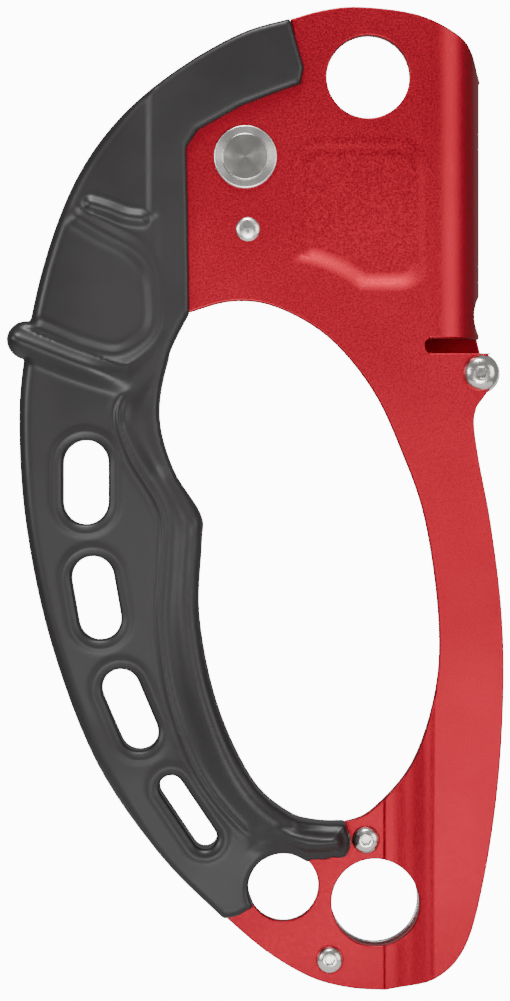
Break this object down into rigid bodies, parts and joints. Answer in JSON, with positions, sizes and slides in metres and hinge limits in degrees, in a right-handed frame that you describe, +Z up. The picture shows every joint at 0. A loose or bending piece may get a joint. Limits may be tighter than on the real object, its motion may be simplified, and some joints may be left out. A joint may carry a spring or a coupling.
{
  "type": "handled rope ascender",
  "caption": "Handled rope clamp that slides up a rope and grips it with a sprung toothed cam, with eyes for a lanyard and a foot loop and two guide rollers.",
  "frame": {"origin": "centre of the main eye, on the plane in which the rope runs", "axes": "+Z up along the rope, +X towards the rope channel, +Y out of the open front; the closed back faces -Y"},
  "size_m": [0.1032, 0.0293, 0.2047],
  "materials": {
    "red_anodised": "satin anodised aluminium",
    "black_rubber": "matt moulded rubber",
    "cast_stainless": "investment cast and tumbled",
    "turned_stainless": "turned",
    "rolled_stainless": "rolled sheet",
    "screw_stainless": "bright passivated",
    "bearing_steel": "ground",
    "spring_steel": "drawn wire",
    "bronze": "sintered bronze"
  },
  "bodies": {
    "frame": {"frame": "red_anodised", "grip": "black_rubber", "cam_spring": "spring_steel", "cam_rivet": "turned_stainless", "rivet_washer": "turned_stainless", "stop_pin": "turned_stainless", "upper_race": "bearing_steel", "upper_shims": "turned_stainless", "upper_screw": "screw_stainless", "upper_nut": "screw_stainless", "lower_race": "bearing_steel", "lower_shims": "turned_stainless", "lower_screw": "screw_stainless", "lower_nut": "screw_stainless", "steel_cheek": "rolled_stainless", "cheek_spacer": "turned_stainless", "cheek_screw": "screw_stainless", "cheek_nut": "screw_stainless"},
    "cam": {"cam": "cast_stainless", "cam_bush": "bronze", "catch_pin": "turned_stainless", "catch_spring": "spring_steel"},
    "safety_catch": {"safety_catch": "cast_stainless"},
    "upper_roller": {"upper_roller": "turned_stainless", "upper_balls": "bearing_steel"},
    "lower_roller": {"lower_roller": "turned_stainless", "lower_balls": "bearing_steel"}
  },
  "joints": [
    {"name": "cam_swing", "type": "hinge", "parent": "frame", "child": "cam", "pos_m": [-0.0271, 0, 0.1552], "axis": [0, 1, 0], "range_deg": [0, 42], "stiffness_Nm_per_rad": 0.12, "springref_deg": -34.38, "deforming": ["cam_spring"]},
    {"name": "catch_pull", "type": "hinge", "parent": "cam", "child": "safety_catch", "pos_m": [-0.01101, 0, 0.1402], "axis": [0, 1, 0], "range_deg": [-25.2, 0], "stiffness_Nm_per_rad": 0.02, "springref_deg": 22.92, "deforming": ["catch_spring"]},
    {"name": "upper_roller_spin", "type": "hinge", "parent": "frame", "child": "upper_roller", "pos_m": [0.0217, 0, 0.1104], "axis": [0, 1, 0], "continuous": true},
    {"name": "lower_roller_spin", "type": "hinge", "parent": "frame", "child": "lower_roller", "pos_m": [-0.00195, 0, 0.0131], "axis": [0, 1, 0], "continuous": true}
  ],
  "couplings": [
    {"joint": "catch_pull", "follows": "cam_swing", "ratio": -0.6}
  ]
}
